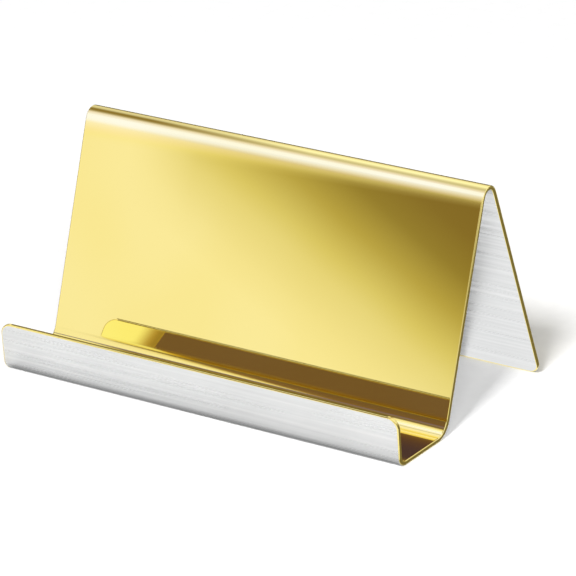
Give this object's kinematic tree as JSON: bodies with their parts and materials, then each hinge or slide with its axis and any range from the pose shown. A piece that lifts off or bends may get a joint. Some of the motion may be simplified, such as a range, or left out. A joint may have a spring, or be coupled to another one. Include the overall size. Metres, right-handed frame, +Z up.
{
  "type": "business card holder stand",
  "caption": "Folded sheet-metal desk stand for business cards: a low front lip, a flat tray, a backrest that leans back and a rear leg past a tight top fold, plated gold on the card side.",
  "frame": {"origin": "on the desk, midway along the fold and midway between the lip's front and the rear leg's foot", "axes": "+X along the fold, +Y from the lip to the rear leg, +Z up"},
  "size_m": [0.095, 0.0538, 0.0465],
  "materials": {
    "brushed_steel": "fine brushed grain along the fold",
    "mirror_gold": "mirror polished gold plating"
  },
  "bodies": {
    "root": {"brushed_steel_sheet": "brushed_steel", "gold_mirror_plating": "mirror_gold"}
  },
  "joints": []
}
